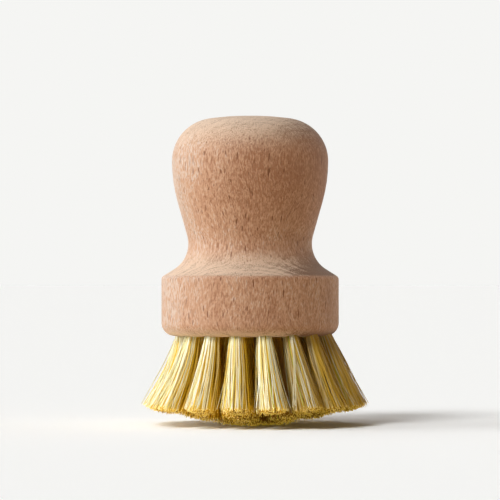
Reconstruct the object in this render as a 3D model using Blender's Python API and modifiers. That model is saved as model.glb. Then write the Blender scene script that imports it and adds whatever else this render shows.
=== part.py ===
# A turned beech pot brush that stands on its bristle tips.
#
# The handle is one piece of wood: a round knob, a waisted neck and a round block. Each tuft of plant
# fibre is folded over a wire staple and driven into a blind hole drilled in the block's underside. The
# holes lean outwards, ring by ring, so that the tufts fan out, and all the tips are trimmed to one
# blunt, shallow cone with a small flat in its middle. Metres, +Z up. The origin is on the floor under the
# middle of the tufts' pattern.

import math

import bmesh
import bpy
from mathutils import Matrix, Vector

# The handle, from the floor up. The outline is a chain of arcs and straight runs that meet tangentially.
FACE_HEIGHT = 0.02510  # the block's underside above the floor
BLOCK_RADIUS = 0.0250
BLOCK_CORNER_RADIUS = 0.0037  # rounding under the block's side
BAND_HEIGHT = 0.01655  # from the underside up to the shoulder's edge
LIP_ROUNDING = 0.0013
FLARE_ANGLE = math.radians(58)  # of the shoulder's cone, from the axis
COVE_RADIUS = 0.0085  # hollow between shoulder and neck
NECK_RISE = 0.0233  # from the neck up to the knob's widest place
NECK_DEPTH = 0.0046  # how far the neck is drawn in from the knob's side
KNOB_RADIUS = 0.02205
CROWN_HEIGHT = 0.01255  # from the knob's widest place up to the flat top

# Shares that shape the handle's curves.
CROWN_CORNER_SHARE = 0.96  # the crown's corner radius, of the crown's height
CROWN_FLAT_SHARE = 0.16  # the flat top's radius, of the knob's
WAIST_ROUND_SHARE = 0.83  # the two arcs of the waist, of the longest that would fit it
BULGE_SHARE = 0.83  # the part of the waist's rounding that belongs to the knob
MOST_COVE_SHARE = 0.85  # of the shoulder's overhang that the cove may take up
MOST_LIP_SHARE = 0.90  # of the shoulder's cone that the lip's rounding may take up

# The drilled holes. A hole's depth is measured along its axis from the underside.
HOLE_DEPTH = 0.0085
EDGE_MARGIN = 0.0044  # from the block's side in to the outer ring
LEAST_WALL = 0.0004  # wood between neighbouring holes
HANDLE_OFFSET = 0.0008  # how far the handle's axis lies to the left of the drilled pattern's middle
DRILL_OVERRUN = 0.0050  # how far a cutter runs past the surface it starts from

# The tufts. A root is the packed, folded end of a tuft, and it fills its hole but for the clearance.
ROOT_RADIUS = 0.0021
ROOT_CLEARANCE = 0.0003
STRAND_ROOT_RADIUS = 0.00038
STRAND_TIP_RADIUS = 0.00092
STRAND_MARGIN = 0.00008  # from the outermost strands in to the root's side
STRAND_BURIAL = 0.0006  # how deep a strand starts inside its root
TRIM_ANGLE = math.radians(14)  # of the cone that the tips are cut to, from level
TRIM_NOSE = 0.0028  # how far the cone's rounded nose falls short of its point
STANDING_CUT = 0.0005  # how much is cut flat off the nose's lowest point

# The staples, bent from round wire. The crown lies inside the fold and the legs go on into the wood.
WIRE_RADIUS = 0.00028
STAPLE_CLEARANCE = 0.0002
STAPLE_MARGIN = 0.00025  # from a leg's outside out to the root's side
STAPLE_BEND = 0.0004  # how far each corner of the staple is cut across
FOLD_THICKNESS = 0.0010  # fibre between the staple's crown and the root's end
LEG_LENGTH = 0.0052

# Counts that set how finely the shapes are divided.
HANDLE_STEPS = 48
DOME_STEPS = 2
CORNER_STEPS = 7
BULGE_STEPS = 4
HOLLOW_STEPS = 2
COVE_STEPS = 5
LIP_STEPS = 3
BLOCK_CORNER_STEPS = 4
HOLE_SIDES = 12
ROOT_SIDES = 12
LEG_HOLE_SIDES = 6
STRAND_SIDES = 3
STRANDS_PER_TUFT = 14

# The rings of tufts: name, most tufts, the ring's radius as a share of the outer ring's, and how wide its
# tufts splay. A hole leans outwards by the same share of the outer ring's lean.
OUTER_SPLAY = 0.0046
INNER_SPLAY = 0.0052
RINGS_BY_SHARE = (
    ("outer", 17, 1.0, OUTER_SPLAY),
    ("middle", 8, 0.63, INNER_SPLAY),
    ("inner", 4, 0.27, INNER_SPLAY),
)
OUTER_LEAN = math.radians(20)
FIRST_BEARING = math.radians(-103)  # the first tuft of every ring lies this way from the pattern's middle

GOLDEN_ANGLE = math.pi * (3 - math.sqrt(5))
NO_WELD = 0.00001  # the Screw modifier joins only points nearer than this

# Sizes and places that follow from those above.
NECK_RADIUS = KNOB_RADIUS - NECK_DEPTH
OVERHANG = BLOCK_RADIUS - NECK_RADIUS
COVE = min(COVE_RADIUS, MOST_COVE_SHARE * OVERHANG / (1 - math.cos(FLARE_ANGLE)))
CONE_WIDTH = OVERHANG - COVE * (1 - math.cos(FLARE_ANGLE))
CONE_LENGTH = CONE_WIDTH / math.sin(FLARE_ANGLE)
LIP = min(LIP_ROUNDING, MOST_LIP_SHARE * CONE_LENGTH / math.tan(FLARE_ANGLE / 2))
LIP_HEIGHT = FACE_HEIGHT + BAND_HEIGHT
NECK_HEIGHT = LIP_HEIGHT + CONE_WIDTH / math.tan(FLARE_ANGLE) + COVE * math.sin(FLARE_ANGLE)
KNOB_HEIGHT = NECK_HEIGHT + NECK_RISE
TOP_HEIGHT = KNOB_HEIGHT + CROWN_HEIGHT
WAIST_ROUNDING = WAIST_ROUND_SHARE * (NECK_RISE**2 + NECK_DEPTH**2) / (2 * NECK_DEPTH)
BULGE_RADIUS = BULGE_SHARE * WAIST_ROUNDING
HOLLOW_RADIUS = WAIST_ROUNDING - BULGE_RADIUS
OUTER_RING_RADIUS = BLOCK_RADIUS - EDGE_MARGIN
HOLE_RADIUS = ROOT_RADIUS + ROOT_CLEARANCE
ROOT_END = -(HOLE_DEPTH - ROOT_CLEARANCE)
WIRE_BORE_RADIUS = WIRE_RADIUS + STAPLE_CLEARANCE
STAPLE_HALF_SPAN = ROOT_RADIUS - STAPLE_MARGIN - WIRE_RADIUS  # from the hole's axis to a leg's middle
STAPLE_CROWN_PLACE = ROOT_END + FOLD_THICKNESS + WIRE_BORE_RADIUS
LEG_END = STAPLE_CROWN_PLACE - LEG_LENGTH
TRIM_POINT = Vector((0, 0, -TRIM_NOSE - STANDING_CUT))
TRIM_SLANT = Vector((-math.tan(TRIM_ANGLE) ** 2, -math.tan(TRIM_ANGLE) ** 2, 1))


def clear_scene():
    for obj in list(bpy.data.objects):
        bpy.data.objects.remove(obj)


def new_collection(name):
    collection = bpy.data.collections.new(name)
    bpy.context.scene.collection.children.link(collection)
    return collection


def new_material(name, colour, roughness, metallic=0.0):
    material = bpy.data.materials.new(name)
    material.use_nodes = True
    shader = material.node_tree.nodes["Principled BSDF"]
    shader.inputs["Base Color"].default_value = (*colour, 1)
    shader.inputs["Roughness"].default_value = roughness
    shader.inputs["Metallic"].default_value = metallic
    material.diffuse_color = (*colour, 1)
    return material


def new_object(name, data, collection, matrix=None):
    obj = bpy.data.objects.new(name, data)
    collection.objects.link(obj)
    if matrix is not None:
        obj.matrix_world = matrix
    return obj


def as_cutter(obj):
    obj.hide_render = True
    obj.display_type = "WIRE"
    return obj


def finished_mesh(obj, name):
    """The mesh that an object's modifiers give."""
    bpy.context.view_layer.update()
    graph = bpy.context.evaluated_depsgraph_get()
    mesh = bpy.data.meshes.new_from_object(obj.evaluated_get(graph))
    mesh.name = name
    return mesh


def add_boolean(obj, other, operation):
    modifier = obj.modifiers.new(operation.lower(), "BOOLEAN")
    modifier.operation = operation
    modifier.object = other
    return modifier


def cylinder_mesh(name, radius, low, high, sides):
    """An upright cylinder on the local Z axis, from one height to another."""
    shape = bmesh.new()
    bmesh.ops.create_cone(
        shape,
        cap_ends=True,
        segments=sides,
        radius1=radius,
        radius2=radius,
        depth=high - low,
        matrix=Matrix.Translation((0, 0, (low + high) / 2)),
    )
    mesh = bpy.data.meshes.new(name)
    shape.to_mesh(mesh)
    shape.free()
    return mesh


def box_mesh(name, low, high):
    """A box between two opposite corners."""
    shape = bmesh.new()
    size = high - low
    middle = (high + low) / 2
    matrix = Matrix.Translation(middle) @ Matrix.Diagonal((*size, 1))
    bmesh.ops.create_cube(shape, size=1, matrix=matrix)
    mesh = bpy.data.meshes.new(name)
    shape.to_mesh(mesh)
    shape.free()
    return mesh


def arc(centre, radius, start, end, steps):
    """Points on a circle in the outline's plane, both ends included. Angles are from +X towards +Z."""
    turns = [start + (end - start) * i / steps for i in range(steps + 1)]
    return [centre + radius * Vector((math.cos(a), 0, math.sin(a))) for a in turns]


def crown_points():
    """From the middle of the flat top out to the knob's widest place: flat, shallow dome, corner."""
    corner_radius = CROWN_CORNER_SHARE * CROWN_HEIGHT
    flat_radius = CROWN_FLAT_SHARE * KNOB_RADIUS
    across = KNOB_RADIUS - corner_radius - flat_radius
    dome_radius = (across**2 + CROWN_HEIGHT**2 - corner_radius**2) / (2 * (CROWN_HEIGHT - corner_radius))
    dome_centre = Vector((flat_radius, 0, TOP_HEIGHT - dome_radius))
    corner_centre = Vector((KNOB_RADIUS - corner_radius, 0, KNOB_HEIGHT))
    between = corner_centre - dome_centre
    meeting = math.atan2(between.z, between.x)
    return [
        Vector((0, 0, TOP_HEIGHT)),
        *arc(dome_centre, dome_radius, math.pi / 2, meeting, DOME_STEPS),
        *arc(corner_centre, corner_radius, meeting, 0, CORNER_STEPS),
    ]


def waist_points():
    """From the knob's widest place down its taper to the neck, then out along the cove."""
    bulge_centre = Vector((KNOB_RADIUS - BULGE_RADIUS, 0, KNOB_HEIGHT))
    hollow_centre = Vector((NECK_RADIUS + HOLLOW_RADIUS, 0, NECK_HEIGHT))
    between = hollow_centre - bulge_centre
    reach = math.acos(WAIST_ROUNDING / between.length)
    taper = math.atan2(-between.z, between.x) - reach
    cove_centre = Vector((NECK_RADIUS + COVE, 0, NECK_HEIGHT))
    return [
        *arc(bulge_centre, BULGE_RADIUS, 0, -taper, BULGE_STEPS),
        *arc(hollow_centre, HOLLOW_RADIUS, math.pi - taper, math.pi, HOLLOW_STEPS),
        *arc(cove_centre, COVE, math.pi, math.pi + FLARE_ANGLE, COVE_STEPS),
    ]


def block_points():
    """The rounded lip, the straight band, the rounded lower corner and the flat underside."""
    lip_drop = LIP * math.tan(FLARE_ANGLE / 2)
    lip_centre = Vector((BLOCK_RADIUS - LIP, 0, LIP_HEIGHT - lip_drop))
    flat_radius = BLOCK_RADIUS - BLOCK_CORNER_RADIUS
    corner_centre = Vector((flat_radius, 0, FACE_HEIGHT + BLOCK_CORNER_RADIUS))
    return [
        *arc(lip_centre, LIP, FLARE_ANGLE, 0, LIP_STEPS),
        *arc(corner_centre, BLOCK_CORNER_RADIUS, 0, -math.pi / 2, BLOCK_CORNER_STEPS),
        Vector((0, 0, FACE_HEIGHT)),
    ]


def handle_outline():
    """The turned outline, from the top of the axis down the outside to the bottom of the axis."""
    outline = []
    for point in crown_points() + waist_points() + block_points():
        if not outline or (point - outline[-1]).length > NO_WELD:
            outline.append(point)
    return outline


def rings():
    """(name, how many, mouth, splay) of each ring. The mouth's matrix is a hole's on the +X side.

    Leaning holes stand closest at their inner ends, so those decide how near a ring may come to the
    one outside it, and how many holes have room in it.
    """
    least = 2 * HOLE_RADIUS + LEAST_WALL
    room_within = math.inf
    found = []
    for name, most, share, splay in RINGS_BY_SHARE:
        lean = share * OUTER_LEAN
        reach = HOLE_DEPTH * math.sin(lean)
        inner_end = min(share * OUTER_RING_RADIUS - reach, room_within)
        if inner_end >= least / 2:
            count = min(most, int(math.pi / math.asin(least / 2 / inner_end)))
            place = Matrix.Translation((inner_end + reach, 0, FACE_HEIGHT))
            found.append((name, count, place @ Matrix.Rotation(math.pi - lean, 4, "Y"), splay))
            room_within = inner_end - least
    return found


def around(count, mouth):
    """(number, matrix) of each tuft in a ring: at its hole's mouth, with +Z out along the hole."""
    for i in range(count):
        turn = Matrix.Rotation(FIRST_BEARING + math.tau * i / count, 4, "Z")
        yield i + 1, turn @ mouth


def drill_holes(handle, cutters):
    """Cuts each tuft's blind hole, and the two narrow ones that its staple's legs make beyond it."""
    corner_radius = HOLE_RADIUS / math.cos(math.pi / HOLE_SIDES)
    drill = cylinder_mesh("drill", corner_radius, -HOLE_DEPTH, DRILL_OVERRUN, HOLE_SIDES)
    corner_radius = WIRE_BORE_RADIUS / math.cos(math.pi / LEG_HOLE_SIDES)
    leg_low = LEG_END - STAPLE_CLEARANCE
    leg = cylinder_mesh("leg_drill", corner_radius, leg_low, STAPLE_CROWN_PLACE, LEG_HOLE_SIDES)
    holes = bpy.data.collections.new("hole_cutters")
    legs = bpy.data.collections.new("leg_cutters")
    for ring, count, mouth, _ in rings():
        for number, place in around(count, mouth):
            as_cutter(new_object(f"{ring}_drill_{number:02d}", drill, holes, place))
            for side in (-1, 1):
                aside = Matrix.Translation((0, side * STAPLE_HALF_SPAN, 0))
                as_cutter(new_object(f"{ring}_leg_{number:02d}_{side}", leg, legs, place @ aside))
    for collection in (holes, legs):
        cutters.children.link(collection)
        modifier = handle.modifiers.new(collection.name, "BOOLEAN")
        modifier.operation = "DIFFERENCE"
        modifier.operand_type = "COLLECTION"
        modifier.collection = collection


def make_handle(parts, cutters, material):
    outline = handle_outline()
    mesh = bpy.data.meshes.new("handle_outline")
    mesh.from_pydata(outline, [(i, i + 1) for i in range(len(outline) - 1)], [])
    handle = new_object("handle", mesh, parts, Matrix.Translation((-HANDLE_OFFSET, 0, 0)))
    mesh.materials.append(material)
    screw = handle.modifiers.new("turning", "SCREW")
    screw.axis = "Z"
    screw.steps = HANDLE_STEPS
    screw.render_steps = HANDLE_STEPS
    screw.use_merge_vertices = True
    screw.merge_threshold = NO_WELD
    screw.use_smooth_shade = True
    drill_holes(handle, cutters)
    return handle


def trimmed(start, direction):
    """Where a straight strand edge that starts inside the brush meets the trimmed cone or the floor.

    The cone and its nose are one hyperboloid: its slanted product of an offset from the cone's point
    with itself is the nose's square.
    """
    along = direction.normalized()
    offset = start - TRIM_POINT
    bend = (TRIM_SLANT * along).dot(along)
    half = (TRIM_SLANT * along).dot(offset)
    rest = (TRIM_SLANT * offset).dot(offset) - TRIM_NOSE**2
    end = start + rest / (math.sqrt(half**2 - bend * rest) - half) * along
    if end.z < 0:
        end = start - start.z / along.z * along
    return end


def strand_bundle_mesh(name, mouth, splay):
    """The strands of one tuft, in its own frame: straight, spreading from one root, cut to the cone."""
    back = mouth.inverted()
    axis_end = back @ trimmed(mouth.translation, mouth.to_3x3() @ Vector((0, 0, 1)))
    root_spread = ROOT_RADIUS - STRAND_ROOT_RADIUS - STRAND_MARGIN
    tip_spread = splay - STRAND_TIP_RADIUS
    shape = bmesh.new()
    for k in range(STRANDS_PER_TUFT):
        share = math.sqrt((k + 0.5) / STRANDS_PER_TUFT)
        aside = Vector((math.cos(k * GOLDEN_ANGLE), math.sin(k * GOLDEN_ANGLE), 0)) * share
        made = bmesh.ops.create_cone(
            shape,
            cap_ends=True,
            segments=STRAND_SIDES,
            radius1=STRAND_ROOT_RADIUS,
            radius2=STRAND_TIP_RADIUS,
            depth=axis_end.z,
            matrix=Matrix.Translation((0, 0, axis_end.z / 2)) @ Matrix.Rotation(k * GOLDEN_ANGLE, 4, "Z"),
        )
        corners = sorted(made["verts"], key=lambda v: v.co.z)
        roots, tips = corners[:STRAND_SIDES], corners[STRAND_SIDES:]
        for tip in tips:
            root = nearest_by_bearing(tip, roots)
            start = root.co + aside * root_spread
            run = tip.co + aside * tip_spread - start
            tip.co = back @ trimmed(mouth @ start, mouth.to_3x3() @ run)
        for root in roots:
            root.co += aside * root_spread
            root.co.z -= STRAND_BURIAL
    mesh = bpy.data.meshes.new(name)
    shape.to_mesh(mesh)
    shape.free()
    return mesh


def nearest_by_bearing(tip, roots):
    """The root corner that lies in the same direction from its strand's axis as this tip corner."""
    bearing = tip.co.xy.normalized()
    return max(roots, key=lambda root: root.co.xy.normalized().dot(bearing))


def tuft_mesh(ring, mouth, splay, cutters, material):
    """One tuft: the packed root with its folded end between the staple's legs, and the strands."""
    root_shape = cylinder_mesh(f"{ring}_root", ROOT_RADIUS, ROOT_END, 0, ROOT_SIDES)
    root_shape.materials.append(material)
    root = as_cutter(new_object(f"{ring}_root", root_shape, cutters))
    beside_fold = STAPLE_HALF_SPAN - WIRE_BORE_RADIUS
    for side in (-1, 1):
        across = sorted((side * beside_fold, side * (beside_fold + HOLE_RADIUS)))
        low = Vector((-HOLE_RADIUS, across[0], ROOT_END - DRILL_OVERRUN))
        high = Vector((HOLE_RADIUS, across[1], STAPLE_CROWN_PLACE + WIRE_BORE_RADIUS))
        box = as_cutter(new_object(f"{ring}_beside_fold_{side}", box_mesh("beside_fold", low, high), cutters))
        add_boolean(root, box, "DIFFERENCE")
    corner_radius = WIRE_BORE_RADIUS / math.cos(math.pi / LEG_HOLE_SIDES)
    tunnel = new_object(
        f"{ring}_crown_tunnel",
        cylinder_mesh("crown_tunnel", corner_radius, -HOLE_RADIUS, HOLE_RADIUS, LEG_HOLE_SIDES),
        cutters,
        Matrix.Translation((0, 0, STAPLE_CROWN_PLACE)) @ Matrix.Rotation(math.pi / 2, 4, "X"),
    )
    add_boolean(root, as_cutter(tunnel), "DIFFERENCE")
    strands_shape = strand_bundle_mesh(f"{ring}_strands", mouth, splay)
    strands = as_cutter(new_object(f"{ring}_strands", strands_shape, cutters))
    add_boolean(root, strands, "UNION")
    return finished_mesh(root, f"{ring}_tuft")


def staple_curve(material):
    """A staple's wire, in its tuft's frame: leg, bend, crown, bend, leg."""
    shoulder = STAPLE_HALF_SPAN - STAPLE_BEND
    half = [
        (STAPLE_HALF_SPAN, LEG_END),
        (STAPLE_HALF_SPAN, STAPLE_CROWN_PLACE - STAPLE_BEND),
        (shoulder, STAPLE_CROWN_PLACE),
    ]
    path = half + [(-y, z) for y, z in reversed(half)]
    curve = bpy.data.curves.new("staple_wire", "CURVE")
    curve.dimensions = "3D"
    curve.bevel_depth = WIRE_RADIUS
    curve.bevel_resolution = 1
    curve.use_fill_caps = True
    spline = curve.splines.new("POLY")
    spline.points.add(len(path) - 1)
    for point, (y, z) in zip(spline.points, path):
        point.co = (0, y, z, 1)
    curve.materials.append(material)
    return curve


def main():
    clear_scene()
    parts = new_collection("pot_brush")
    cutters = new_collection("cutters")
    beech = new_material("beech", (0.70, 0.43, 0.25), 0.6)
    fibre = new_material("plant_fibre", (0.78, 0.66, 0.33), 0.55)
    steel = new_material("steel_wire", (0.62, 0.60, 0.56), 0.35, 1.0)

    make_handle(parts, cutters, beech)
    wire = staple_curve(steel)
    for ring, count, mouth, splay in rings():
        tuft = tuft_mesh(ring, mouth, splay, cutters, fibre)
        for number, place in around(count, mouth):
            new_object(f"{ring}_tuft_{number:02d}", tuft, parts, place)
            new_object(f"{ring}_staple_{number:02d}", wire, parts, place)


main()
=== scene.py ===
import math

import bmesh
import bpy
import numpy as np
from mathutils import Matrix, Vector


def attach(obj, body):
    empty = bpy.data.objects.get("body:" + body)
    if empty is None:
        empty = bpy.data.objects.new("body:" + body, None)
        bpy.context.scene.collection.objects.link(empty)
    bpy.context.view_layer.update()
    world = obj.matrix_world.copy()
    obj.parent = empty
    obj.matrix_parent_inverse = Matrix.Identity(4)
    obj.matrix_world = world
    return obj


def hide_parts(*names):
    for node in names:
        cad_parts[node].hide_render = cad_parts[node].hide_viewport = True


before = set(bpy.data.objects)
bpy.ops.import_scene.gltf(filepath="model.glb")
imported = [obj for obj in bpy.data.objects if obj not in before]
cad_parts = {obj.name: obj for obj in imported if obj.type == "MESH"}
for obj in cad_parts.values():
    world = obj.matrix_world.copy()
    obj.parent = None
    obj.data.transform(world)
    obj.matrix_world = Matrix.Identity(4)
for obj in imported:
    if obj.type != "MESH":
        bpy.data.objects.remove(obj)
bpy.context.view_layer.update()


# The photographer's view.
# A long lens about 0.8 m away, level with the block's shoulder, so the floor is seen almost edge on
# and the trimmed bristle ends show under the front tufts.
CAMERA_DISTANCE = 0.80
CAMERA_HEIGHT = 0.040
VIEW_WIDTH = 0.1411  # across the picture at the brush's axis
VIEW_MIDDLE = Vector((-0.00083, 0, 0.0493))

camera_data = bpy.data.cameras.new("camera")
camera_data.lens = camera_data.sensor_width * CAMERA_DISTANCE / VIEW_WIDTH
camera = bpy.data.objects.new("camera", camera_data)
camera.location = (VIEW_MIDDLE.x, -CAMERA_DISTANCE, CAMERA_HEIGHT)
camera.rotation_euler = (VIEW_MIDDLE - camera.location).to_track_quat("-Z", "Y").to_euler()
bpy.context.scene.collection.objects.link(camera)
bpy.context.scene.camera = camera
bpy.context.scene.view_settings.view_transform = "Standard"


# The table and the light.
# The brush stands on plain white paper. A soft box hangs in front of it to the left and throws the
# short shadow to the back. A wide one stands low on the left, another hangs high behind the brush,
# and a white card stands on the right.
BACKDROP_COLOUR = (0.914, 0.914, 0.896)
PAPER_COLOUR = (1.122, 1.149, 1.155)
PAPER_BOUNCE = (1.0, 0.80, 0.54)  # what the paper sends back to the brush
PAPER_HALF_WIDTH = 40.0
FILL_COLOUR = (1.0, 0.74, 0.50)
FILL_STRENGTH = 0.08
# name, bearing from the camera's side to the left, height, spread and strength
SOFT_BOXES = (
    ("front_box", math.radians(39), math.radians(45), math.radians(22), 1.9),
    ("side_box", math.radians(86), math.radians(7), math.radians(50), 3.0),
    ("back_box", math.radians(150), math.radians(62), math.radians(40), 0.45),
    ("right_card", math.radians(-115), math.radians(3), math.radians(50), 0.45),
)


def add_node(tree, kind, settings=None, **inputs):
    """A shader node with its settings made and its inputs set or linked.

    An input goes by its name, with _ for a space, or by its number, as in i0.
    """
    node = tree.nodes.new(kind)
    for name, value in (settings or {}).items():
        setattr(node, name, value)
    for name, value in inputs.items():
        index = int(name[1:]) if name[0] == "i" and name[1:].isdigit() else name.replace("_", " ")
        if isinstance(value, bpy.types.NodeSocket):
            tree.links.new(value, node.inputs[index])
        else:
            node.inputs[index].default_value = value
    return node


def seen_by_eye(tree):
    """1 where the camera looks, straight or in a mirror or through glass, and 0 for light that bounces."""
    path = add_node(tree, "ShaderNodeLightPath").outputs
    straight = path["Is Camera Ray"]
    for other in ("Is Glossy Ray", "Is Transmission Ray"):
        straight = add_node(
            tree, "ShaderNodeMath", {"operation": "MAXIMUM"}, i0=straight, i1=path[other]
        ).outputs[0]
    return straight


world = bpy.data.worlds.new("room")
bpy.context.scene.world = world
world.use_nodes = True
tree = world.node_tree
tree.nodes.clear()
paper_sky = add_node(tree, "ShaderNodeBackground", Color=(*BACKDROP_COLOUR, 1), Strength=1.0)
fill_sky = add_node(tree, "ShaderNodeBackground", Color=(*FILL_COLOUR, 1), Strength=FILL_STRENGTH)
sky = add_node(
    tree, "ShaderNodeMixShader", i0=seen_by_eye(tree), i1=fill_sky.outputs[0], i2=paper_sky.outputs[0]
)
add_node(tree, "ShaderNodeOutputWorld", Surface=sky.outputs[0])

paper = bpy.data.materials.new("paper")
paper.use_nodes = True
tree = paper.node_tree
eye = seen_by_eye(tree)
colour = add_node(
    tree, "ShaderNodeMix", {"data_type": "RGBA"}, i0=eye, i6=(*PAPER_BOUNCE, 1), i7=(*PAPER_COLOUR, 1)
)
shader = tree.nodes["Principled BSDF"]
tree.links.new(colour.outputs[2], shader.inputs["Base Color"])
shader.inputs["Roughness"].default_value = 1.0
shader.inputs["Specular IOR Level"].default_value = 0.0

shape = bmesh.new()
bmesh.ops.create_grid(shape, x_segments=1, y_segments=1, size=PAPER_HALF_WIDTH)
sheet = bpy.data.meshes.new("floor")
shape.to_mesh(sheet)
shape.free()
sheet.materials.append(paper)
floor = bpy.data.objects.new("floor", sheet)
bpy.context.scene.collection.objects.link(floor)

for name, bearing, height, spread, strength in SOFT_BOXES:
    lamp_data = bpy.data.lights.new(name, "SUN")
    lamp_data.energy = strength
    lamp_data.angle = spread
    lamp = bpy.data.objects.new(name, lamp_data)
    level = math.cos(height)
    to_lamp = Vector((-level * math.sin(bearing), -level * math.cos(bearing), math.sin(height)))
    lamp.rotation_euler = to_lamp.to_track_quat("Z", "Y").to_euler()
    bpy.context.scene.collection.objects.link(lamp)


# The handle.
# One piece of steamed beech, turned between centres with its grain upright, sanded and left bare: a
# round knob, a drawn-in waist and a round block, whose flat underside is drilled for the tufts.
FACE_HEIGHT = 0.02510
BLOCK_RADIUS = 0.0250
BLOCK_CORNER_RADIUS = 0.0037
LIP_HEIGHT = 0.04165
LIP_ROUNDING = 0.0013
FLARE_ANGLE = math.radians(58)
COVE_RADIUS = 0.0085
NECK_RADIUS = 0.01745
NECK_RISE = 0.0233
KNOB_RADIUS = 0.02205
CROWN_HEIGHT = 0.01255
CROWN_CORNER_RADIUS = 0.012048
CROWN_FLAT_RADIUS = 0.003528
WAIST_ROUNDING = 0.050890  # the knob's bulge and the neck's hollow together
BULGE_SHARE = 0.83
HANDLE_AXIS = Vector((-0.0008, 0, 0))  # the turned axis lies a little to the left of the drilled pattern
TURNED_STEPS = 192
ARC_STEP = math.radians(4)
MERGE_DISTANCE = 0.000002
HANDLE_SHARP_EDGE = math.radians(35)

HOLE_RADIUS = 0.0024
HOLE_DEPTH = 0.0085
HOLE_SIDES = 24
DRILL_OVERRUN = 0.005
OUTER_RING_RADIUS = 0.0206
OUTER_LEAN = math.radians(20)
FIRST_BEARING = math.radians(-103)
RINGS = (("outer", 17, 1.0), ("middle", 8, 0.63), ("inner", 4, 0.27))


def hole_places():
    """(ring, number, matrix) of each drilled hole: at its mouth, with +Z out along the hole."""
    for ring, count, share in RINGS:
        mouth = Matrix.Translation((share * OUTER_RING_RADIUS, 0, FACE_HEIGHT)) @ Matrix.Rotation(
            math.pi - share * OUTER_LEAN, 4, "Y"
        )
        for i in range(count):
            turn = Matrix.Rotation(FIRST_BEARING + math.tau * i / count, 4, "Z")
            yield ring, i + 1, turn @ mouth


def sweep_arc(shape, end, centre, angle):
    """Carries the outline's last vertex round a centre in the XZ plane. Positive turns +X towards +Z."""
    made = bmesh.ops.spin(
        shape,
        geom=[end],
        cent=centre,
        axis=(0, -1, 0),
        angle=angle,
        steps=max(2, round(abs(angle) / ARC_STEP)),
        use_duplicate=False,
    )
    return next(part for part in made["geom_last"] if isinstance(part, bmesh.types.BMVert))


def draw_on(shape, end, place):
    """Carries the outline's last vertex straight to a place."""
    made = bmesh.ops.extrude_vert_indiv(shape, verts=[end])
    made["verts"][0].co = place
    return made["verts"][0]


def neck_rise_from_lip():
    """How far the neck lies above the block's lip: the shoulder's cone and the cove."""
    cone = BLOCK_RADIUS - NECK_RADIUS - COVE_RADIUS * (1 - math.cos(FLARE_ANGLE))
    return cone / math.tan(FLARE_ANGLE) + COVE_RADIUS * math.sin(FLARE_ANGLE)


def turned_handle_mesh():
    """The handle's outline, drawn from the crown down to the underside and spun about its axis."""
    knob_height = LIP_HEIGHT + NECK_RISE + neck_rise_from_lip()
    top = knob_height + CROWN_HEIGHT
    across = KNOB_RADIUS - CROWN_CORNER_RADIUS - CROWN_FLAT_RADIUS
    dome_radius = (across**2 + CROWN_HEIGHT**2 - CROWN_CORNER_RADIUS**2) / (
        2 * (CROWN_HEIGHT - CROWN_CORNER_RADIUS)
    )
    dome_centre = Vector((CROWN_FLAT_RADIUS, 0, top - dome_radius))
    corner_centre = Vector((KNOB_RADIUS - CROWN_CORNER_RADIUS, 0, knob_height))
    meeting = math.atan2(corner_centre.z - dome_centre.z, corner_centre.x - dome_centre.x)

    bulge_radius = BULGE_SHARE * WAIST_ROUNDING
    hollow_radius = WAIST_ROUNDING - bulge_radius
    neck_height = knob_height - NECK_RISE
    bulge_centre = Vector((KNOB_RADIUS - bulge_radius, 0, knob_height))
    hollow_centre = Vector((NECK_RADIUS + hollow_radius, 0, neck_height))
    between = hollow_centre - bulge_centre
    taper = math.atan2(-between.z, between.x) - math.acos(WAIST_ROUNDING / between.length)
    cove_centre = Vector((NECK_RADIUS + COVE_RADIUS, 0, neck_height))

    shape = bmesh.new()
    end = shape.verts.new((0, 0, top))
    end = draw_on(shape, end, (CROWN_FLAT_RADIUS, 0, top))
    end = sweep_arc(shape, end, dome_centre, meeting - math.pi / 2)
    end = sweep_arc(shape, end, corner_centre, -meeting)
    end = sweep_arc(shape, end, bulge_centre, -taper)
    end = draw_on(shape, end, hollow_centre - hollow_radius * Vector((math.cos(taper), 0, -math.sin(taper))))
    end = sweep_arc(shape, end, hollow_centre, taper)
    end = sweep_arc(shape, end, cove_centre, FLARE_ANGLE)
    lip_drop = LIP_ROUNDING * math.tan(FLARE_ANGLE / 2)
    lip_centre = Vector((BLOCK_RADIUS - LIP_ROUNDING, 0, LIP_HEIGHT - lip_drop))
    flare_normal = Vector((math.cos(FLARE_ANGLE), 0, math.sin(FLARE_ANGLE)))
    end = draw_on(shape, end, lip_centre + LIP_ROUNDING * flare_normal)
    end = sweep_arc(shape, end, lip_centre, -FLARE_ANGLE)
    corner = Vector((BLOCK_RADIUS - BLOCK_CORNER_RADIUS, 0, FACE_HEIGHT + BLOCK_CORNER_RADIUS))
    end = draw_on(shape, end, corner + Vector((BLOCK_CORNER_RADIUS, 0, 0)))
    end = sweep_arc(shape, end, corner, -math.pi / 2)
    draw_on(shape, end, (0, 0, FACE_HEIGHT))

    bmesh.ops.spin(
        shape,
        geom=[*shape.verts, *shape.edges],
        cent=(0, 0, 0),
        axis=(0, 0, 1),
        angle=math.tau,
        steps=TURNED_STEPS,
        use_merge=True,
        use_duplicate=False,
    )
    bmesh.ops.remove_doubles(shape, verts=shape.verts, dist=MERGE_DISTANCE)
    bmesh.ops.recalc_face_normals(shape, faces=shape.faces)
    bmesh.ops.translate(shape, verts=shape.verts, vec=HANDLE_AXIS)
    mesh = bpy.data.meshes.new("turned_handle")
    shape.to_mesh(mesh)
    shape.free()
    return mesh


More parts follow.
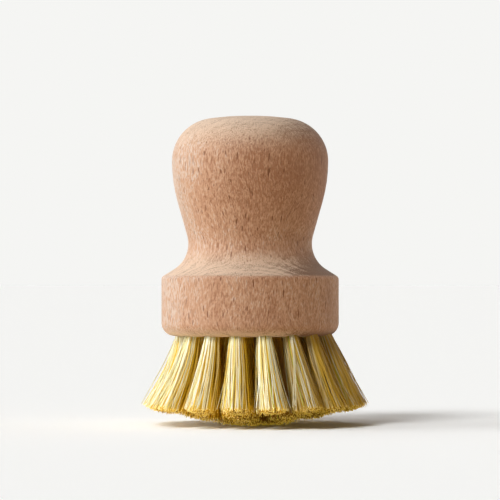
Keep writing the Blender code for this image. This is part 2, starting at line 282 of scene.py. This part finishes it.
def drilled(mesh):
    """The turned mesh with every tuft's blind hole drilled in its underside."""
    shape = bmesh.new()
    for _, _, place in hole_places():
        bmesh.ops.create_cone(
            shape,
            cap_ends=True,
            segments=HOLE_SIDES,
            radius1=HOLE_RADIUS,
            radius2=HOLE_RADIUS,
            depth=HOLE_DEPTH + DRILL_OVERRUN,
            matrix=place @ Matrix.Translation((0, 0, (DRILL_OVERRUN - HOLE_DEPTH) / 2)),
        )
    drills = bpy.data.meshes.new("drills")
    shape.to_mesh(drills)
    shape.free()
    blank = bpy.data.objects.new("blank", mesh)
    drill = bpy.data.objects.new("drill", drills)
    for thing in (blank, drill):
        bpy.context.scene.collection.objects.link(thing)
    cut = blank.modifiers.new("drilling", "BOOLEAN")
    cut.operation = "DIFFERENCE"
    cut.solver = "EXACT"
    cut.use_self = True
    cut.object = drill
    bpy.context.view_layer.update()
    finished = bpy.data.meshes.new_from_object(blank.evaluated_get(bpy.context.evaluated_depsgraph_get()))
    for thing in (blank, drill):
        bpy.data.objects.remove(thing)
    return finished


def in_millimetres(tree, stretch=(1, 1, 1)):
    """The object's own coordinates in millimetres, stretched along its axes."""
    place = add_node(tree, "ShaderNodeTexCoord").outputs["Object"]
    scale = [1000 * s for s in stretch]
    return add_node(tree, "ShaderNodeMapping", Vector=place, Scale=scale).outputs[0]


def maths(tree, operation, *values):
    """The result of one arithmetic step on sockets and numbers."""
    return add_node(
        tree, "ShaderNodeMath", {"operation": operation}, **{f"i{i}": v for i, v in enumerate(values)}
    ).outputs[0]


def vector_maths(tree, operation, first, second=(0, 0, 0)):
    """The result of one arithmetic step on places. A length is a number, all else a place."""
    outputs = add_node(tree, "ShaderNodeVectorMath", {"operation": operation}, i0=first, i1=second).outputs
    return outputs["Value" if operation == "LENGTH" else "Vector"]


def mixed(tree, share, first, second, blend="MIX"):
    """Two colours mixed by a share."""
    return add_node(
        tree, "ShaderNodeMix", {"data_type": "RGBA", "blend_type": blend}, i0=share, i6=first, i7=second
    ).outputs[2]


def eased(tree, value, low, high, to_low=0.0):
    """The value carried smoothly from between low and high to between to_low and 1."""
    return add_node(
        tree,
        "ShaderNodeMapRange",
        {"interpolation_type": "SMOOTHSTEP"},
        Value=value,
        From_Min=low,
        From_Max=high,
        To_Min=to_low,
    ).outputs[0]


def noise(tree, place, scale, detail=2.0, roughness=0.5):
    """Soft patches from 0 to 1, with this many to each unit of the place."""
    return add_node(
        tree, "ShaderNodeTexNoise", Vector=place, Scale=scale, Detail=detail, Roughness=roughness
    ).outputs[0]


def grain_marks(tree, place, per_millimetre, detail, roughness=0.5, edges=None, turn=(0, 0, 0)):
    """Noise drawn out along the axes, and carried from 0 to 1 between its edges where it has them."""
    drawn_out = add_node(tree, "ShaderNodeMapping", Vector=place, Rotation=turn, Scale=per_millimetre)
    marks = noise(tree, drawn_out.outputs[0], 1.0, detail, roughness)
    return eased(tree, marks, *edges) if edges else marks


def flecks(tree, place, cell, height, least, most, share):
    """Upright dark flecks, 1 at their middles.

    This share of the cells, so many millimetres across and high, holds a fleck, and its radius lies
    between least and most of the cell.
    """
    cells = add_node(tree, "ShaderNodeMapping", Vector=place, Scale=(1 / cell, 1 / cell, 1 / height))
    cells = add_node(tree, "ShaderNodeTexVoronoi", Vector=cells.outputs[0], Scale=1.0).outputs
    chance = add_node(tree, "ShaderNodeSeparateColor", Color=cells["Color"]).outputs
    size = maths(tree, "MULTIPLY_ADD", chance[0], most - least, least)
    depth = maths(tree, "SUBTRACT", 1.0, maths(tree, "DIVIDE", cells["Distance"], size))
    kept = maths(tree, "LESS_THAN", chance[1], share)
    return maths(tree, "MULTIPLY", eased(tree, depth, 0.0, FLECK_EDGE), kept)


SIDE_PALE = (0.63, 0.545, 0.485, 1)
SIDE_MID = (0.54, 0.325, 0.21, 1)
SIDE_DEEP = (0.335, 0.16, 0.088, 1)
CUT_PALE = (0.71, 0.543, 0.413, 1)
CUT_DEEP = (0.215, 0.125, 0.078, 1)
FLECK_COLOUR = (0.19, 0.075, 0.033, 1)
FLECK_EDGE = 0.4

# the blank's place in the tree, in millimetres
PITH = (55.0, -35.0, 0.0)  # added to a place on the handle, it measures from the tree's middle
PITH_DISTANCE = 65.2
SIDE_SHADE_SPAN = (-26.0, 14.0)  # painted light and shade, outwards past the handle's axis: the sides paler towards the lit left and back, deeper towards the front and right
RING_WIDTH = 1.9
RING_POWER = 4.0  # a ring is pale for most of its width and dark at its end
RING_EDGE = (1.0, 0.93)
WANDER = (4.0, 4.0, 0.0)  # how far the grain strays from upright
WANDER_SCALE = 0.10
RAY_TURN = (0, 0, math.radians(32.5))  # follows the scale, so it changes the pattern, not its direction

# where one look passes into another, in millimetres, upwards or from left to right in the picture
ABOVE_BAND = (41.6, 42.4)
ON_SHOULDER = (53.0, 47.0)
ON_KNOB = (51.0, 62.0)
SIDE_DEEPENS = (-12.0, 10.0)
CUT_DEEPENS = (3.0, 22.0)
SHOULDER_SHADE_SPAN = (8.0, 20.0)
RINGS_SHOW = (-8.0, 12.0)
PORES_SHOW = (-20.0, -4.0)
FLECKS_SHOW = (-23.0, -11.0)
FACING_UP = (0.08, 0.90)  # how much of a face's normal points up where end grain shows
FACING_DOWN = (-0.25, -0.95)
LEFT_RINGS = 0.3  # what shows of the rings and the bold flecks on the left
LEFT_FLECKS = 0.4

# how much each mark adds to the tone of the sides, and what tone has which colour
SIDE_SHADE_TONE = 0.62
BROAD_TONE = 0.24
KNOB_TONE = 0.32
STREAK_TONE = 0.70
DASH_TONE = 0.46
PORE_TONE = 0.14
RIGHT_PORE_TONE = 0.26
MID_TONES = (-0.15, 0.60)
DEEP_TONES = (0.45, 1.3)

# the same for the crown, the shoulder and the underside, where the grain is cut across
CUT_TONE = -0.16
CUT_DASH_TONE = 0.22
CUT_RING_TONE = 0.3
CUT_RAY_TONE = 0.26
SHOULDER_RAY_TONE = 0.28
SHOULDER_TONE = -0.22
CUT_RIGHT_TONE = 0.95
# painted shade: how much the knob's shadow darkens the shoulder's right side
SHOULDER_SHADE_TONE = 0.7

# how strongly rings and flecks are drawn over the tone, and what the cut faces lack of it
RING_SHARE = 0.42
CUT_RING_LACK = 0.22
FINE_FLECK_SHARE = 0.50
CUT_FLECK_LACK = 0.7

# the sanded surface: marks as shares of its relief, which is in metres
STREAK_HEIGHT = 0.5
DASH_DEPTH = 0.4
FINE_FLECK_DEPTH = 0.35
BOLD_FLECK_DEPTH = 0.8
PORE_DEPTH = 0.30
RELIEF = 0.00015
RELIEF_STRENGTH = 0.7
BEECH_ROUGHNESS = 0.5
STREAK_ROUGHNESS = 0.2
BEECH_SPECULAR = 0.3
CUT_SPECULAR_LACK = 0.10

beech = bpy.data.materials.new("beech")
beech.use_nodes = True
tree = beech.node_tree
shader = tree.nodes["Principled BSDF"]

# places: on the handle, and in the wandering grain
plain_place = in_millimetres(tree)
wander = in_millimetres(tree, stretch=(1, 1, 0.6))
wander = add_node(tree, "ShaderNodeTexNoise", Vector=wander, Scale=WANDER_SCALE, Detail=1.0).outputs[1]
wander = vector_maths(tree, "SUBTRACT", wander, (0.5, 0.5, 0.5))
place = vector_maths(tree, "ADD", plain_place, vector_maths(tree, "MULTIPLY", wander, WANDER))
axes = add_node(tree, "ShaderNodeSeparateXYZ", Vector=plain_place).outputs
rightwards, upwards = axes[0], axes[2]
on_shoulder = eased(tree, upwards, *ON_SHOULDER)
facing = add_node(tree, "ShaderNodeNewGeometry").outputs["Normal"]
facing = add_node(tree, "ShaderNodeSeparateXYZ", Vector=facing).outputs[2]
cut_across = maths(tree, "MULTIPLY", eased(tree, facing, *FACING_UP), eased(tree, upwards, *ABOVE_BAND))
cut_across = maths(tree, "MAXIMUM", cut_across, eased(tree, facing, *FACING_DOWN))

# marks: rings round the pith, broad patches, streaks, dashes, pores, rays and flecks
reach = vector_maths(tree, "MULTIPLY", vector_maths(tree, "ADD", place, PITH), (1, 1, 0))
reach = vector_maths(tree, "LENGTH", reach)
ring = maths(tree, "FRACT", maths(tree, "DIVIDE", reach, RING_WIDTH))
late_wood = maths(tree, "MULTIPLY", maths(tree, "POWER", ring, RING_POWER), eased(tree, ring, *RING_EDGE))
late_wood = maths(tree, "MULTIPLY", late_wood, eased(tree, rightwards, *RINGS_SHOW, to_low=LEFT_RINGS))
# painted light and shade: the sides are paler towards the lit left and deeper towards the shaded front and
# right
painted_side_shade = eased(tree, maths(tree, "SUBTRACT", reach, PITH_DISTANCE), *SIDE_SHADE_SPAN)
broad = eased(tree, noise(tree, in_millimetres(tree, stretch=(1, 1, 0.5)), scale=0.12), 0.3, 0.7)
streaks = grain_marks(tree, place, (1.6, 1.6, 0.16), detail=3.0, roughness=0.6)
dashes = grain_marks(tree, place, (2.3, 2.3, 0.55), detail=2.0, roughness=0.6, edges=(0.40, 0.62))
pores = grain_marks(tree, place, (3.0, 3.0, 1.2), detail=1.0, edges=(0.35, 0.65))
rays = grain_marks(
    tree, place, (0.07, 1.1, 0.28), detail=2.0, roughness=0.6, edges=(0.40, 0.60), turn=RAY_TURN
)
fine_flecks = flecks(tree, place, cell=0.46, height=2.3, least=0.18, most=0.40, share=0.75)
bold_flecks = flecks(tree, place, cell=0.90, height=5.6, least=0.16, most=0.31, share=0.5)

# the sides
pore_share = eased(tree, rightwards, *PORES_SHOW)
pore_share = maths(tree, "MULTIPLY_ADD", pore_share, RIGHT_PORE_TONE, PORE_TONE)
pore_tone = maths(tree, "MULTIPLY", maths(tree, "SUBTRACT", pores, 0.5), pore_share)
knob_side = maths(tree, "MULTIPLY", eased(tree, rightwards, *SIDE_DEEPENS), eased(tree, upwards, *ON_KNOB))
tone = maths(tree, "MULTIPLY_ADD", painted_side_shade, SIDE_SHADE_TONE, maths(tree, "MULTIPLY", broad, BROAD_TONE))
tone = maths(tree, "ADD", tone, maths(tree, "MULTIPLY", knob_side, KNOB_TONE))
tone = maths(tree, "ADD", tone, maths(tree, "MULTIPLY_ADD", streaks, STREAK_TONE, -STREAK_TONE / 2))
tone = maths(tree, "ADD", tone, maths(tree, "MULTIPLY_ADD", dashes, DASH_TONE, -DASH_TONE / 2))
tone = maths(tree, "ADD", tone, pore_tone)
colour = mixed(tree, eased(tree, tone, *MID_TONES), SIDE_PALE, SIDE_MID)
colour = mixed(tree, eased(tree, tone, *DEEP_TONES), colour, SIDE_DEEP)

# the faces that cut across the grain
ray_tone = maths(tree, "MULTIPLY_ADD", on_shoulder, SHOULDER_RAY_TONE, CUT_RAY_TONE)
ray_tone = maths(tree, "MULTIPLY", rays, ray_tone)
right_side = eased(tree, rightwards, *CUT_DEEPENS)
# painted shade: the knob's shadow, darkening the right side of the shoulder
shoulder_shade = maths(tree, "MULTIPLY", eased(tree, rightwards, *SHOULDER_SHADE_SPAN), on_shoulder)
tone = maths(tree, "MULTIPLY_ADD", late_wood, CUT_RING_TONE, ray_tone)
tone = maths(tree, "MULTIPLY_ADD", on_shoulder, SHOULDER_TONE, tone)
tone = maths(tree, "ADD", tone, maths(tree, "MULTIPLY_ADD", dashes, CUT_DASH_TONE, CUT_TONE))
tone = maths(tree, "ADD", tone, pore_tone)
tone = maths(tree, "ADD", tone, maths(tree, "MULTIPLY", right_side, CUT_RIGHT_TONE))
tone = maths(tree, "ADD", tone, maths(tree, "MULTIPLY", shoulder_shade, SHOULDER_SHADE_TONE))
colour = mixed(tree, cut_across, colour, mixed(tree, tone, CUT_PALE, CUT_DEEP))

# rings and flecks over both
ring_share = maths(tree, "MULTIPLY_ADD", cut_across, -CUT_RING_LACK, RING_SHARE)
colour = mixed(tree, maths(tree, "MULTIPLY", late_wood, ring_share), colour, SIDE_DEEP)
upright = maths(tree, "MULTIPLY_ADD", cut_across, -CUT_FLECK_LACK, 1.0)
fine_share = maths(tree, "MULTIPLY", fine_flecks, maths(tree, "MULTIPLY", upright, FINE_FLECK_SHARE))
bold_share = maths(tree, "MULTIPLY", upright, eased(tree, rightwards, *FLECKS_SHOW, to_low=LEFT_FLECKS))
bold_share = maths(tree, "MULTIPLY", bold_flecks, bold_share)
colour = mixed(tree, maths(tree, "MAXIMUM", fine_share, bold_share), colour, FLECK_COLOUR)

# the relief and the finish
height = maths(tree, "MULTIPLY_ADD", streaks, STREAK_HEIGHT, maths(tree, "MULTIPLY", dashes, -DASH_DEPTH))
for mark, depth in ((fine_flecks, FINE_FLECK_DEPTH), (bold_flecks, BOLD_FLECK_DEPTH), (pores, PORE_DEPTH)):
    height = maths(tree, "SUBTRACT", height, maths(tree, "MULTIPLY", mark, depth))
bump = add_node(tree, "ShaderNodeBump", Height=height, Strength=RELIEF_STRENGTH, Distance=RELIEF)
roughness = maths(tree, "MULTIPLY_ADD", streaks, STREAK_ROUGHNESS, BEECH_ROUGHNESS)
specular = maths(tree, "MULTIPLY_ADD", cut_across, -CUT_SPECULAR_LACK, BEECH_SPECULAR)
tree.links.new(colour, shader.inputs["Base Color"])
tree.links.new(roughness, shader.inputs["Roughness"])
tree.links.new(specular, shader.inputs["Specular IOR Level"])
tree.links.new(bump.outputs[0], shader.inputs["Normal"])

handle_mesh = drilled(turned_handle_mesh())
handle_mesh.materials.clear()
handle_mesh.materials.append(beech)
handle_mesh.shade_smooth()
handle_mesh.set_sharp_from_angle(angle=HANDLE_SHARP_EDGE)
handle = bpy.data.objects.new("turned_handle", handle_mesh)
bpy.context.scene.collection.objects.link(handle)
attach(handle, "root")
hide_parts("handle")


# The tufts.
# Plant fibre, pale and stiff, cut in lengths, folded double and packed into each hole. Every tuft
# widens towards its tips, which are trimmed together to one blunt cone with a flat to stand on.
FIBRE_SIDES = 4
FIBRE_CUTS = 5
FIBRES_PER_TUFT = 290
FIBRE_RADIUS = 0.000110
FIBRE_THICKNESS = (0.8, 1.2)  # of that radius, from the thinnest fibre to the thickest
FIBRE_BREADTH = 1.3  # a fibre is flat: broader along the tuft's side than it is deep
FIBRE_DEPTH = 0.75
FIBRE_ROOT_WIDTH = 1.08
FIBRE_TAPER = 0.22
FIBRE_SHARP_EDGE = math.radians(60)
ROOT_SPREAD = 0.00188
TUFT_ROOT = {"outer_06": 0.78}  # of it, where a tuft is drawn tighter
ROOT_BURIAL = 0.0030
AIM_DEPTH = 0.024  # how far out of its hole a tuft has the splay that TUFT_SPLAY gives
TRIM_SLOPE = math.tan(math.radians(14))
# on the trimmed cone the squares of x, y and z, times these, add up to the square of its nose
TRIM_CONE = np.array((-(TRIM_SLOPE**2), -(TRIM_SLOPE**2), 1))
TRIM_NOSE = 0.0028
STANDING_CUT = 0.0005  # how much is cut off the nose to stand on
UNEVENNESS = 0.00026
ROUNDED_END = 0.0007  # how much shorter a tuft's outermost fibres are
HOLLOWNESS = 0.00040
FLARE = 0.0007  # how far a tuft curves outwards, over and above its hole's lean
FLARE_BY_SIDE = 0.9  # of it, more on the left and less on the right
BOW = 0.00036
WAVE = 0.00007
TURN_DISORDER = 0.4  # in radians, off the even spiral in which the fibres are set out
TIP_DISORDER = 0.14  # how far the tips wander, as a share of the tuft's breadth there
STRAY_SHARE = 0.035
STRAY_DISORDER = 2.6  # how much further a stray fibre's tip wanders
GOLDEN_ANGLE = math.pi * (3 - math.sqrt(5))
FIRST_SEED = 100
TUFT_SPLAY = {"outer": 0.0044, "middle": 0.0056, "inner": 0.0058}
TUFT_PAINTED_LIGHT = {  # painted light: how pale its outermost fibres are, by ring or by tuft; lower values paint the shade inside the inner rings and in the shaded tufts
    "outer": 1.0,
    "middle": 0.7,
    "inner": 0.5,
    "outer_03": 0.96,
    "outer_04": 0.91,
    "outer_05": 0.90,
    "outer_06": 0.89,
    "middle_02": 0.42,
    "middle_03": 0.42,
    "inner_02": 0.42,
    "inner_03": 0.42,
}
SHADED_FLANK = 0.20  # painted shade: how much less pale a tuft's fibres are on its side away from the lamps
TUFT_SHADED_FLANK = {
    "outer_01": 0.46,
    "outer_02": 0.04,
    "outer_15": 0.30,
    "outer_16": 0.48,
    "outer_17": 0.32,
}
AWAY_FROM_LAMPS = np.array((0.95, 0.31, 0.0))
# painted shade: how far each tuft on the shaded right is darkened
TUFT_PAINTED_SHADE = {
    "outer_01": 0.10,
    "outer_03": 0.75,
    "outer_04": 0.9,
    "outer_05": 1.0,
    "outer_06": 1.0,
    "outer_07": 1.0,
}
DRIFT = 0.0008  # the whole brush has been pressed a little to the right in use
TUFT_DRIFT = {
    "outer_01": 0.0018,
    "outer_02": 0.0015,
    "outer_03": 0.0016,
    "outer_04": 0.0007,
    "outer_05": 0.0009,
    "outer_06": 0.0,
    "outer_15": 0.0014,
    "outer_16": 0.0002,
    "outer_17": 0.0012,
}
# fibres that stand out of a tuft: where it starts and ends across the tuft, outwards and along the
# ring, in shares of its breadth, and how far its middle hangs to the right and upwards
LOOSE_FIBRES = {
    "outer_02": (((0.95, -0.60), (1.00, -1.25), (-0.0003, 0.0)),),
    "outer_03": (
        ((0.90, -0.30), (0.95, -1.75), (0.0012, 0.0)),
        ((0.95, -0.20), (0.90, -1.55), (0.0015, 0.0)),
    ),
    "outer_04": (
        ((0.70, 0.60), (0.95, 1.45), (-0.0010, 0.0)),
        ((0.95, 0.10), (1.00, -0.80), (0.0003, 0.0)),
    ),
    "outer_06": (
        ((0.50, -0.30), (1.00, -0.50), (0.0, 0.0)),
        ((0.60, 0.00), (1.06, -0.20), (0.0, 0.0)),
    ),
}


def fibre_template():
    """One straight fibre, a unit long and a unit in radius, divided along its length."""
    shape = bmesh.new()
    bmesh.ops.create_cone(
        shape,
        cap_ends=True,
        segments=FIBRE_SIDES,
        radius1=1,
        radius2=1,
        depth=1,
        matrix=Matrix.Translation((0, 0, 0.5)),
    )
    along = [e for e in shape.edges if abs(e.verts[0].co.z - e.verts[1].co.z) > 0.5]
    bmesh.ops.subdivide_edges(shape, edges=along, cuts=FIBRE_CUTS)
    mesh = bpy.data.meshes.new("fibre")
    shape.to_mesh(mesh)
    shape.free()
    return mesh


def fibre_bundle(name, fibre):
    """A mesh of a tuft's fibres, still straight, and its points by fibre, point and axis."""
    bundle = bmesh.new()
    for _ in range(FIBRES_PER_TUFT):
        bundle.from_mesh(fibre)
    mesh = bpy.data.meshes.new(name)
    bundle.to_mesh(mesh)
    bundle.free()
    points = np.empty(len(mesh.vertices) * 3, np.float32)
    mesh.vertices.foreach_get("co", points)
    return mesh, points.reshape(FIBRES_PER_TUFT, -1, 3).astype(float)


def fibre_layout(draw, loose_fibres):
    """How a tuft's fibres lie: how far out each one is, and where at its root and at its tip.

    With these come how much a stray fibre wanders and how far a loose one's middle hangs.
    """
    number = np.arange(FIBRES_PER_TUFT)
    turn = number * GOLDEN_ANGLE + draw.uniform(-TURN_DISORDER, TURN_DISORDER, FIBRES_PER_TUFT)
    share = np.sqrt((number + 0.5) / FIBRES_PER_TUFT)
    at_root = np.stack((np.cos(turn), np.sin(turn)), 1) * share[:, None]
    stray = draw.random(FIBRES_PER_TUFT) < STRAY_SHARE
    disorder = np.where(stray, STRAY_DISORDER, 1.0)[:, None]
    at_tip = at_root + draw.normal(0, TIP_DISORDER, (FIBRES_PER_TUFT, 2)) * disorder
    hang = np.zeros((FIBRES_PER_TUFT, 1, 3))
    first_loose = FIBRES_PER_TUFT - len(loose_fibres)
    for index, (from_there, to_there, middle) in enumerate(loose_fibres, first_loose):
        at_root[index] = (-from_there[0], from_there[1])
        at_tip[index] = (-to_there[0], to_there[1])
        hang[index] = (middle[0], 0, middle[1])
    return share, at_root, at_tip, disorder, hang


def unit(vectors):
    """The vectors, each brought to a length of 1."""
    return vectors / np.linalg.norm(vectors, axis=1, keepdims=True)


def trimmed(start, aim):
    """Which way straight fibres run towards their aims, and how long they are when cut to the cone."""
    along = unit(aim - start)
    offset = start + np.array((0, 0, TRIM_NOSE + STANDING_CUT))
    bend = (TRIM_CONE * along**2).sum(1)
    half = (TRIM_CONE * along * offset).sum(1)
    rest = (TRIM_CONE * offset**2).sum(1) - TRIM_NOSE**2
    return along, rest / (np.sqrt(half**2 - bend * rest) - half)


def tuft_mesh(name, place, root_spread, splay, drift, painted_light, shaded_flank, painted_shade, loose_fibres, seed):
    """A tuft's fibres: copies of the straight fibre, bent from the hole out to the trimmed cone."""
    draw = np.random.default_rng(seed)
    count = FIBRES_PER_TUFT
    share, at_root, at_tip, disorder, hang = fibre_layout(draw, loose_fibres)
    root = np.hstack((at_root * root_spread, np.full((count, 1), -ROOT_BURIAL)))
    tip = np.hstack((at_tip * splay, np.full((count, 1), AIM_DEPTH)))
    turned = np.array(place.to_3x3())
    moved = np.array(place.translation)
    start = root @ turned.T + moved
    aim = tip @ turned.T + moved + np.array(drift)
    along, reach = trimmed(start, aim)
    reach += draw.normal(0, UNEVENNESS, count) - UNEVENNESS - ROUNDED_END * share**4
    reach = np.minimum(reach, start[:, 2] / -along[:, 2])

    span = along * reach[:, None]
    facing = np.hstack((at_root, np.zeros((count, 1)))) @ turned.T
    side = unit(np.cross(span, facing))
    up = unit(np.cross(side, span))
    outwards = moved * (1, 1, 0) / OUTER_RING_RADIUS
    curve = -facing * HOLLOWNESS - outwards * FLARE * (1 - FLARE_BY_SIDE * outwards[0])
    bow = draw.normal(0, BOW, (count, 2)) * np.sqrt(disorder)
    wave = draw.normal(0, WAVE, (count, 2))
    thickness = FIBRE_RADIUS * draw.uniform(*FIBRE_THICKNESS, count)

    mesh, local = fibre_bundle(name, straight_fibre)
    way = local[:, :, 2:3]
    arch = np.sin(np.pi * way)
    ripple = np.sin(2 * np.pi * way)
    lateral = [bow[:, None, i : i + 1] * arch + wave[:, None, i : i + 1] * ripple for i in (0, 1)]
    centre = start[:, None] + span[:, None] * way + curve[:, None] * arch
    centre = centre + side[:, None] * lateral[0] + up[:, None] * lateral[1] + hang * arch
    width = thickness[:, None, None] * (FIBRE_ROOT_WIDTH - FIBRE_TAPER * way)
    breadth = side[:, None] * FIBRE_BREADTH * local[:, :, 0:1]
    placed = centre + width * (breadth + up[:, None] * FIBRE_DEPTH * local[:, :, 1:2])
    placed[:, :, 2] = np.maximum(placed[:, :, 2], 0.0)
    mesh.vertices.foreach_set("co", placed.reshape(-1).astype(np.float32))

    # red: the fibre's own tone, green: the way along it, blue: what picks its colour, alpha: how lit it is
    # painted, lower in painted shade
    strand = np.empty((*local.shape[:2], 4), np.float32)
    strand[:, :, 0] = draw.random(count)[:, None]
    strand[:, :, 1] = local[:, :, 2]
    strand[:, :, 2] = draw.random(count)[:, None]
    # painted shade on the flank of each tuft that faces away from the lamps
    flank_shade = np.clip(facing @ AWAY_FROM_LAMPS, 0, 1) * shaded_flank
    strand[:, :, 3] = (share * painted_light - flank_shade)[:, None]
    strands = mesh.attributes.new("strand", "FLOAT_COLOR", "POINT")
    strands.data.foreach_set("color", strand.reshape(-1))
    shade_values = mesh.attributes.new("painted_shade", "FLOAT", "POINT")
    shade_values.data.foreach_set("value", np.full(len(mesh.vertices), painted_shade, np.float32))
    mesh.shade_smooth()
    mesh.set_sharp_from_angle(angle=FIBRE_SHARP_EDGE)
    return mesh


FIBRE_CREAM = (0.95, 0.98, 0.80, 1)
FIBRE_STRAW = (0.93, 0.92, 0.58, 1)
FIBRE_GOLD = (0.88, 0.76, 0.22, 1)
# painted shade: the golden of deep fibres and the dark of buried ones; the golden one also colours the
# painted glow at the cut ends
FIBRE_SHADE_AND_GLOW = (0.86, 0.58, 0.035, 1)
FIBRE_BURIED_SHADE = (0.42, 0.22, 0.03, 1)
FIBRE_GREEN = (0.56, 0.60, 0.05, 1)
FIBRE_TIP = (0.98, 0.86, 0.40, 1)
# painted shade: the tint that darkens the tufts on the right
FIBRE_SHADE_TINT = (0.57, 0.50, 0.385, 1)
FIBRE_CLEAR = (0.62, 0.58, 0.40, 1)  # what light keeps of itself at each side of a fibre it goes through
MOTTLE_SCALE = 0.6
MOTTLE_SHARE = 0.5
CREAM_SHADE = (0.25, 0.65)
GOLD_FIBRES = 0.12  # how many of the fibres are golden or green
GREEN_FIBRES = 0.015
DEEP_SHADE_EDGES = (0.95, 0.72)  # how pale a fibre is painted where the deep and the buried painted shade come in
BURIED_SHADE_EDGES = (0.46, 0.38)
CUT_END = (0.985, 1.0)  # the last stretch of a fibre
PAINTED_END_GLOW = 0.28  # painted light: the cut ends glow, standing in for the light that runs down inside the fibres and leaves at their ends
FIBRE_ROUGHNESS = 0.38
FIBRE_SPECULAR = 0.35

plant_fibre = bpy.data.materials.new("plant_fibre")
plant_fibre.use_nodes = True
tree = plant_fibre.node_tree
shader = tree.nodes["Principled BSDF"]
strand = add_node(tree, "ShaderNodeAttribute", {"attribute_name": "strand"}).outputs
painted_light = strand["Alpha"]
strand = add_node(tree, "ShaderNodeSeparateColor", Color=strand["Color"]).outputs
own_tone, way, colour_pick = strand[0], strand[1], strand[2]
mottle = noise(tree, in_millimetres(tree), MOTTLE_SCALE)
shade = maths(tree, "SUBTRACT", own_tone, MOTTLE_SHARE / 2)
shade = maths(tree, "MULTIPLY_ADD", mottle, MOTTLE_SHARE, shade)
colour = mixed(tree, eased(tree, shade, *CREAM_SHADE), FIBRE_STRAW, FIBRE_CREAM)
colour = mixed(tree, maths(tree, "LESS_THAN", colour_pick, GOLD_FIBRES), colour, FIBRE_GOLD)
# painted shade: fibres deep in a tuft, in the inner rings, in shaded tufts and on a tuft's flank away from
# the lamps turn golden and then dark
colour = mixed(tree, eased(tree, painted_light, *DEEP_SHADE_EDGES), colour, FIBRE_SHADE_AND_GLOW)
colour = mixed(tree, eased(tree, painted_light, *BURIED_SHADE_EDGES), colour, FIBRE_BURIED_SHADE)
colour = mixed(tree, maths(tree, "GREATER_THAN", colour_pick, 1 - GREEN_FIBRES), colour, FIBRE_GREEN)
cut_end = eased(tree, way, *CUT_END)
colour = mixed(tree, cut_end, colour, FIBRE_TIP)
# painted shade: the tufts on the right darkened by their tint
painted_shade = add_node(tree, "ShaderNodeAttribute", {"attribute_name": "painted_shade"}).outputs["Fac"]
colour = mixed(tree, painted_shade, colour, FIBRE_SHADE_TINT, blend="MULTIPLY")
tree.links.new(colour, shader.inputs["Base Color"])
# painted light: a golden glow at the fibres' cut ends
shader.inputs["Emission Color"].default_value = FIBRE_SHADE_AND_GLOW
tree.links.new(maths(tree, "MULTIPLY", cut_end, PAINTED_END_GLOW), shader.inputs["Emission Strength"])
shader.inputs["Roughness"].default_value = FIBRE_ROUGHNESS
shader.inputs["Specular IOR Level"].default_value = FIBRE_SPECULAR
# for shadow rays a fibre is clear, because real fibres let part of the light through
shadow_ray = add_node(tree, "ShaderNodeLightPath").outputs["Is Shadow Ray"]
clear = add_node(tree, "ShaderNodeBsdfTransparent", Color=FIBRE_CLEAR)
both = add_node(tree, "ShaderNodeMixShader", i0=shadow_ray, i1=shader.outputs[0], i2=clear.outputs[0])
tree.links.new(both.outputs[0], tree.nodes["Material Output"].inputs["Surface"])

straight_fibre = fibre_template()
for index, (ring_name, number, place) in enumerate(hole_places()):
    key_name = f"{ring_name}_{number:02d}"
    node_name = f"{ring_name}_tuft_{number:02d}"
    name = f"{node_name}_fibres"
    mesh = tuft_mesh(
        name,
        place,
        root_spread=ROOT_SPREAD * TUFT_ROOT.get(key_name, 1.0),
        splay=TUFT_SPLAY[ring_name],
        drift=Vector((TUFT_DRIFT.get(key_name, DRIFT), 0, 0)),
        painted_light=TUFT_PAINTED_LIGHT.get(key_name, TUFT_PAINTED_LIGHT[ring_name]),
        shaded_flank=TUFT_SHADED_FLANK.get(key_name, SHADED_FLANK),
        painted_shade=TUFT_PAINTED_SHADE.get(key_name, 0.0),
        loose_fibres=LOOSE_FIBRES.get(key_name, ()),
        seed=FIRST_SEED + index,
    )
    mesh.materials.append(plant_fibre)
    tuft = bpy.data.objects.new(name, mesh)
    bpy.context.scene.collection.objects.link(tuft)
    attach(tuft, "root")
    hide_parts(node_name)


# The staples.
# Short lengths of drawn steel wire, bent square over a mandrel. Each one holds a tuft's fold at the
# bottom of its hole, with its legs driven on into the wood.
STEEL_COLOUR = (0.62, 0.60, 0.56, 1)
STEEL_DULL = (0.30, 0.27, 0.24, 1)
TARNISH_EDGES = (0.45, 0.75)
SCRATCH_DEPTH = 0.00003
SCRATCH_STRENGTH = 0.3
STEEL_ROUGHNESS = 0.2
SCRATCH_ROUGHNESS = 0.3

steel_wire = bpy.data.materials.new("steel_wire")
steel_wire.use_nodes = True
tree = steel_wire.node_tree
shader = tree.nodes["Principled BSDF"]
drawn = noise(tree, in_millimetres(tree, stretch=(1, 1, 0.2)), scale=6.0, detail=3.0)
tarnish = noise(tree, in_millimetres(tree), scale=0.8)
colour = mixed(tree, eased(tree, tarnish, *TARNISH_EDGES), STEEL_COLOUR, STEEL_DULL)
roughness = maths(tree, "MULTIPLY_ADD", drawn, SCRATCH_ROUGHNESS, STEEL_ROUGHNESS)
scratches = add_node(
    tree, "ShaderNodeBump", Height=drawn, Strength=SCRATCH_STRENGTH, Distance=SCRATCH_DEPTH
)
tree.links.new(colour, shader.inputs["Base Color"])
tree.links.new(roughness, shader.inputs["Roughness"])
tree.links.new(scratches.outputs[0], shader.inputs["Normal"])
shader.inputs["Metallic"].default_value = 1.0
for name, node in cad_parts.items():
    if "_staple_" in name:
        node.data.materials.clear()
        node.data.materials.append(steel_wire)
